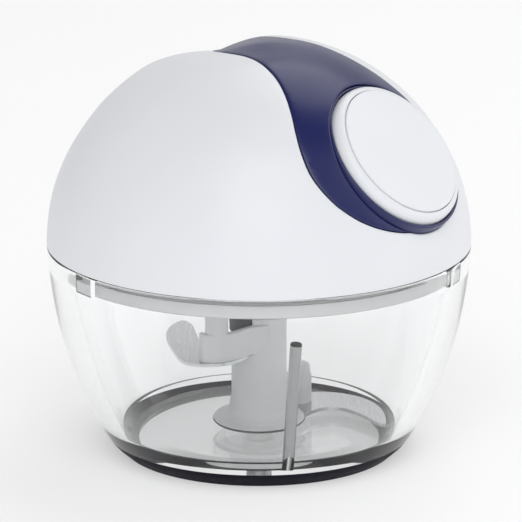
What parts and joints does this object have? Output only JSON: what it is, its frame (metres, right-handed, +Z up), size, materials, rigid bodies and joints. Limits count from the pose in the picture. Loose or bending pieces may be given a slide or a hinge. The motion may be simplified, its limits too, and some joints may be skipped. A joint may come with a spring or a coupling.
{
  "type": "pull string food chopper",
  "caption": "Ball-shaped hand food chopper: clear thick bowl, domed lid with a recoil cord reel and round pull handle, and a crescent-blade unit turning on a pin.",
  "frame": {"origin": "bottom centre of the base ring, on the surface the chopper stands on", "axes": "+Z up along the bowl, reel and blade axis; the pull handle is on the +X, -Y side of the dome"},
  "size_m": [0.1266, 0.1266, 0.1247],
  "materials": {
    "clear_plastic": "clear, polished, thick-walled",
    "navy_rubber": "matt, soft grip",
    "white_plastic": "satin-gloss moulded shell",
    "navy_plastic": "satin-gloss moulded panel",
    "frosted_plastic": "frosted off-white moulding",
    "column_plastic": "off-white moulding, satin",
    "socket_plastic": "dark moulded coupling",
    "stainless": "ground stainless sheet",
    "bright_steel": "polished round bar",
    "spring_steel": "blued spring strip",
    "tip_rubber": "black soft tip",
    "seal_silicone": "grey silicone",
    "acetal": "natural acetal",
    "bronze": "sintered bushing",
    "cord": "braided cord"
  },
  "bodies": {
    "bowl": {"bowl_shell": "clear_plastic", "base_ring": "navy_rubber", "pivot_pin": "bright_steel", "baffle_rod": "bright_steel", "rod_tip": "tip_rubber"},
    "lid": {"dome_shell": "white_plastic", "dome_panel": "navy_plastic", "lid_plate": "frosted_plastic", "lid_seal": "seal_silicone", "cord_eyelet": "bright_steel", "lower_bush": "bronze", "upper_bush": "bronze", "spring_housing": "acetal", "spring_cover": "stainless", "bridge": "stainless", "bridge_screws": "bright_steel", "recoil_spring": "spring_steel"},
    "reel": {"drive_shaft": "bright_steel", "spring_arbor": "bronze", "cord_reel": "acetal", "cord_wraps": "cord", "retaining_clip": "spring_steel"},
    "handle": {"handle_body": "white_plastic", "handle_cap": "white_plastic", "cord_ferrule": "bright_steel", "cord_lead": "cord"},
    "blades": {"blade_column": "column_plastic", "column_bush": "bronze", "drive_socket": "socket_plastic", "lower_blade": "stainless", "upper_blade": "stainless", "lower_carrier": "column_plastic", "upper_carrier": "column_plastic"}
  },
  "joints": [
    {"name": "lid_lift", "type": "slide", "parent": "bowl", "child": "lid", "axis": [0, 0, 1], "range_m": [0, 0.14]},
    {"name": "handle_pull", "type": "slide", "parent": "lid", "child": "handle", "axis": [0.6226, -0.4294, 0.6543], "range_m": [0, 0.3], "stiffness_N_per_m": 14, "springref_m": -0.25, "deforming": ["recoil_spring", "cord_lead"]},
    {"name": "reel_spin", "type": "hinge", "parent": "lid", "child": "reel", "pos_m": [0, 0, 0.08], "axis": [0, 0, 1], "range_deg": [0, 1125]},
    {"name": "blade_spin", "type": "hinge", "parent": "bowl", "child": "blades", "pos_m": [0, 0, 0.03], "axis": [0, 0, 1], "continuous": true}
  ],
  "couplings": [
    {"joint": "reel_spin", "follows": "handle_pull", "rad_per_m": 64.935},
    {"joint": "blade_spin", "follows": "handle_pull", "rad_per_m": 64.935}
  ]
}
